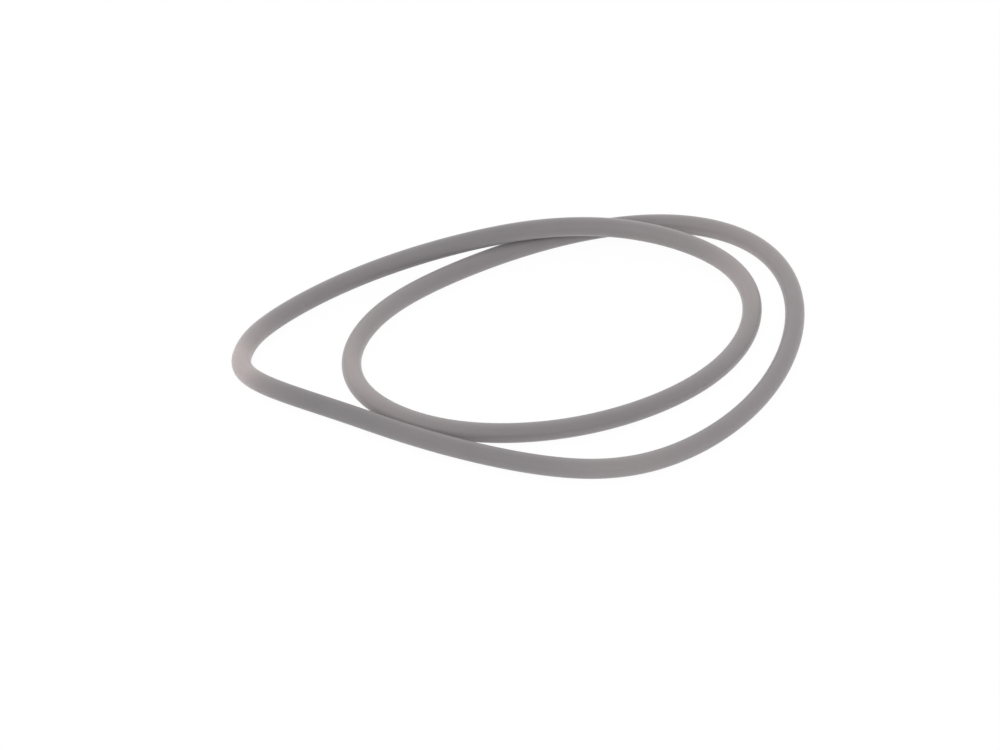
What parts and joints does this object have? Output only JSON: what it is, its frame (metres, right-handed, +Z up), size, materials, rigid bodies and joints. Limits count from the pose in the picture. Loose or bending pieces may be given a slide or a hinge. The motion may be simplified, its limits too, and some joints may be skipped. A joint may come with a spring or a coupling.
{
  "type": "o-ring",
  "caption": "Rubber sealing ring of round section, lying doubled in two turns that cross, for sealing a shaft, piston or flange in a groove.",
  "frame": {"origin": "on the surface that the ring lies on, under the middle of the ring's box", "axes": "+X along the long way of the lie, away from its bent end; +Y towards the crossing at the back; +Z up"},
  "size_m": [0.1034, 0.0706, 0.0071],
  "materials": {
    "rubber": "moulded, matt to satin"
  },
  "bodies": {
    "root": {"o_ring": "rubber"}
  },
  "joints": []
}
